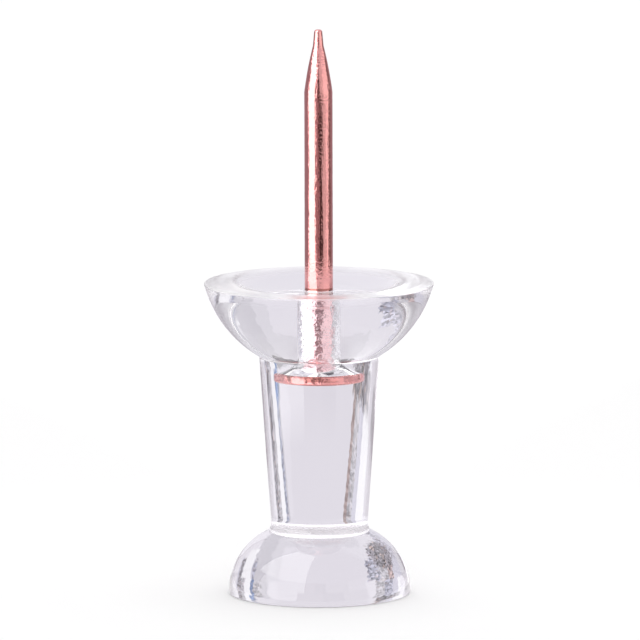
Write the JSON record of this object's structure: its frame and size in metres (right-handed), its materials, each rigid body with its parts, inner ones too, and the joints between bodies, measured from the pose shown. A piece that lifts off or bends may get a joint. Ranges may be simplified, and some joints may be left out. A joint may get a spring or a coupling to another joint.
{
  "type": "push pin",
  "caption": "Clear spool-shaped push pin: a domed finger head, tapered neck and dished flange moulded round a headed copper-plated steel pin.",
  "frame": {"origin": "centre of the flat end of the head, which the pin stands on", "axes": "+Z along the pin from the flat end to the point; the part is round about Z, so X and Y are free"},
  "size_m": [0.008, 0.008, 0.02],
  "materials": {
    "clear_plastic": "clear moulded acrylic, glossy",
    "plated_steel": "bright rose copper plating over drawn steel wire"
  },
  "bodies": {
    "root": {"clear_handle": "clear_plastic", "steel_pin": "plated_steel"}
  },
  "joints": []
}
